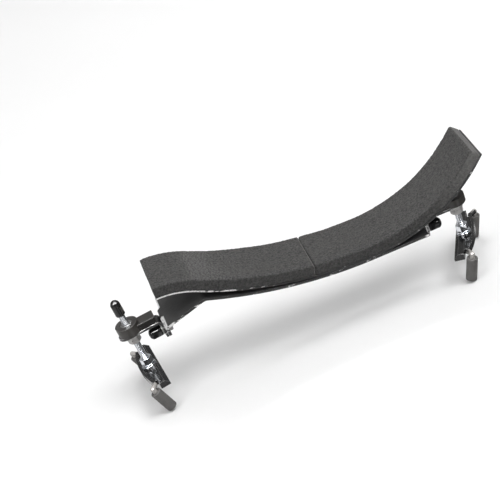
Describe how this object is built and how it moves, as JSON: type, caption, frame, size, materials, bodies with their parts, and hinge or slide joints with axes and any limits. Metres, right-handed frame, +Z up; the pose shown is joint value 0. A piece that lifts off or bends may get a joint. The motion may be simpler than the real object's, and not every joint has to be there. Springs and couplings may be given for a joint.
{
  "type": "violin shoulder rest",
  "caption": "Padded curved shoulder rest for a violin: a foam-covered bendable band on height-adjustable, swivelling clawed feet that grip the violin's edge.",
  "frame": {"origin": "between the two feet, on the plane that the four claw tips stand on", "axes": "+X along the rest towards the shoulder hook, +Y across the band towards the violin's scroll, +Z up, away from the violin's back"},
  "size_m": [0.2319, 0.0552, 0.0782],
  "materials": {
    "foam": "matte charcoal closed-cell foam with a fine open grain",
    "band_paint": "black satin lacquer on spring aluminium, bright at the cut edges",
    "bracket_paint": "black satin lacquer on steel strip, bright at the cut edges",
    "fork_paint": "black gloss lacquer on steel, worn bright along the top edge",
    "housing_plastic": "black moulded plastic, semi-gloss",
    "foot_plastic": "black moulded plastic, gloss",
    "knob_plastic": "black moulded plastic, high gloss",
    "chrome": "bright nickel-chrome plate",
    "zinc": "dull zinc plate",
    "claw_rubber": "matte dark grey rubber tube"
  },
  "bodies": {
    "pad_and_bands": {"foam_pad_chest": "foam", "foam_pad_shoulder": "foam", "support_band": "band_paint", "base_band": "band_paint", "band_rivets": "zinc", "chest_clamp_nut": "zinc", "shoulder_clamp_nut": "zinc"},
    "chest_bracket": {"chest_bracket": "bracket_paint"},
    "chest_clamp": {"chest_clamp_screw": "zinc", "chest_clamp_knob": "knob_plastic", "chest_clamp_washer": "zinc"},
    "chest_slider": {"chest_slide_housing": "housing_plastic", "chest_captive_nut": "chrome", "chest_lock_washer": "zinc", "chest_lock_nut": "zinc"},
    "chest_lift": {"chest_thrust_washer": "chrome"},
    "chest_screw": {"chest_height_screw": "chrome", "chest_height_knob": "knob_plastic", "chest_collar_nut": "chrome", "chest_retaining_clip": "zinc"},
    "chest_foot": {"chest_foot_saddle": "foot_plastic", "chest_foot_fork": "fork_paint", "chest_claw_sleeves": "claw_rubber"},
    "shoulder_bracket": {"shoulder_bracket": "bracket_paint"},
    "shoulder_clamp": {"shoulder_clamp_screw": "zinc", "shoulder_clamp_knob": "knob_plastic", "shoulder_clamp_washer": "zinc"},
    "shoulder_slider": {"shoulder_slide_housing": "housing_plastic", "shoulder_captive_nut": "chrome", "shoulder_lock_washer": "zinc", "shoulder_lock_nut": "zinc"},
    "shoulder_lift": {"shoulder_thrust_washer": "chrome"},
    "shoulder_screw": {"shoulder_height_screw": "chrome", "shoulder_height_knob": "knob_plastic", "shoulder_collar_nut": "chrome", "shoulder_retaining_clip": "zinc"},
    "shoulder_foot": {"shoulder_foot_saddle": "foot_plastic", "shoulder_foot_fork": "fork_paint", "shoulder_claw_sleeves": "claw_rubber"}
  },
  "joints": [
    {"name": "chest_tilt", "type": "hinge", "parent": "pad_and_bands", "child": "chest_bracket", "pos_m": [-0.08363, 0, 0.03803], "axis": [-0.9954, 0, -0.0958], "range_deg": [-12, 12]},
    {"name": "chest_clamp_turn", "type": "hinge", "parent": "pad_and_bands", "child": "chest_clamp", "pos_m": [-0.08363, 0, 0.03803], "axis": [-0.9954, 0, -0.0958], "range_deg": [0, 360]},
    {"name": "chest_width", "type": "slide", "parent": "chest_bracket", "child": "chest_slider", "axis": [-0.9954, 0, -0.0958], "range_m": [-0.002, 0.004]},
    {"name": "chest_height", "type": "slide", "parent": "chest_slider", "child": "chest_lift", "axis": [0.0958, 0, -0.9954], "range_m": [-0.0095, 0.006]},
    {"name": "chest_screw_turn", "type": "hinge", "parent": "chest_lift", "child": "chest_screw", "pos_m": [-0.10016, 0, 0.02921], "axis": [0.0958, 0, -0.9954], "range_deg": [-4886.21, 3086.21]},
    {"name": "chest_foot_swivel", "type": "hinge", "parent": "chest_lift", "child": "chest_foot", "pos_m": [-0.09901, 0, 0.01726], "axis": [-0.0958, 0, 0.9954], "range_deg": [-34.5, 25.5]},
    {"name": "shoulder_tilt", "type": "hinge", "parent": "pad_and_bands", "child": "shoulder_bracket", "pos_m": [0.0822, 0, 0.032], "axis": [1, 0, 0], "range_deg": [-12, 12]},
    {"name": "shoulder_clamp_turn", "type": "hinge", "parent": "pad_and_bands", "child": "shoulder_clamp", "pos_m": [0.0822, 0, 0.032], "axis": [1, 0, 0], "range_deg": [0, 360]},
    {"name": "shoulder_width", "type": "slide", "parent": "shoulder_bracket", "child": "shoulder_slider", "axis": [1, 0, 0], "range_m": [-0.002, 0.0015]},
    {"name": "shoulder_height", "type": "slide", "parent": "shoulder_slider", "child": "shoulder_lift", "axis": [0, 0, -1], "range_m": [-0.0015, 0.0018]},
    {"name": "shoulder_screw_turn", "type": "hinge", "parent": "shoulder_lift", "child": "shoulder_screw", "pos_m": [0.102, 0, 0.029], "axis": [0, 0, -1], "range_deg": [-771.93, 926.21]},
    {"name": "shoulder_foot_swivel", "type": "hinge", "parent": "shoulder_lift", "child": "shoulder_foot", "pos_m": [0.102, 0, 0.017], "axis": [0, 0, 1], "range_deg": [-9, 51]}
  ],
  "couplings": [
    {"joint": "chest_screw_turn", "follows": "chest_height", "rad_per_m": 8976},
    {"joint": "shoulder_screw_turn", "follows": "shoulder_height", "rad_per_m": 8976}
  ]
}
